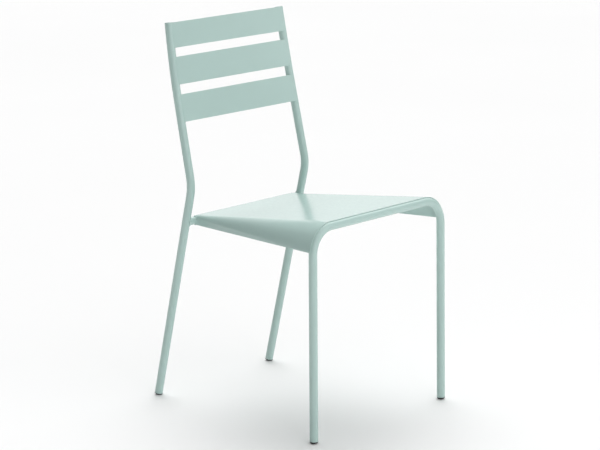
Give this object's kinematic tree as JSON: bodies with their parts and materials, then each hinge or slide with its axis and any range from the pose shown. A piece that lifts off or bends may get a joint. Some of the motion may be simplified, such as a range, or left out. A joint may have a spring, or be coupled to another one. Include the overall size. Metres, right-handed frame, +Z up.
{
  "type": "stacking chair",
  "caption": "Armless stacking chair in pale green powder-coated steel tube, with a folded sheet seat and a slatted back.",
  "frame": {"origin": "on the floor, in the middle of the chair's footprint", "axes": "+X is the sitter's left and the chair is symmetric across it, +Y points behind the chair, +Z is up"},
  "size_m": [0.4346, 0.5196, 0.8453],
  "materials": {
    "powder_coat": "satin powder coat, pale grey-green",
    "glide_plastic": "matt black moulded polyamide"
  },
  "bodies": {
    "root": {"front_frame": "powder_coat", "rear_post_left": "powder_coat", "rear_post_right": "powder_coat", "rear_cross_tube": "powder_coat", "seat_pan": "powder_coat", "back_slat_upper": "powder_coat", "back_slat_middle": "powder_coat", "back_slat_lower": "powder_coat", "post_cap_left": "powder_coat", "post_cap_right": "powder_coat", "foot_glide_front_left": "glide_plastic", "foot_glide_front_right": "glide_plastic", "foot_glide_rear_left": "glide_plastic", "foot_glide_rear_right": "glide_plastic", "seat_weld_front_rail": "powder_coat", "seat_weld_cross_tube": "powder_coat", "seat_weld_bend_left": "powder_coat", "seat_weld_bend_right": "powder_coat", "flange_weld_left": "powder_coat", "flange_weld_right": "powder_coat", "cross_tube_weld_left": "powder_coat", "cross_tube_weld_right": "powder_coat", "slat_weld_upper_left": "powder_coat", "slat_weld_upper_right": "powder_coat", "slat_weld_middle_left": "powder_coat", "slat_weld_middle_right": "powder_coat", "slat_weld_lower_left": "powder_coat", "slat_weld_lower_right": "powder_coat"}
  },
  "joints": []
}
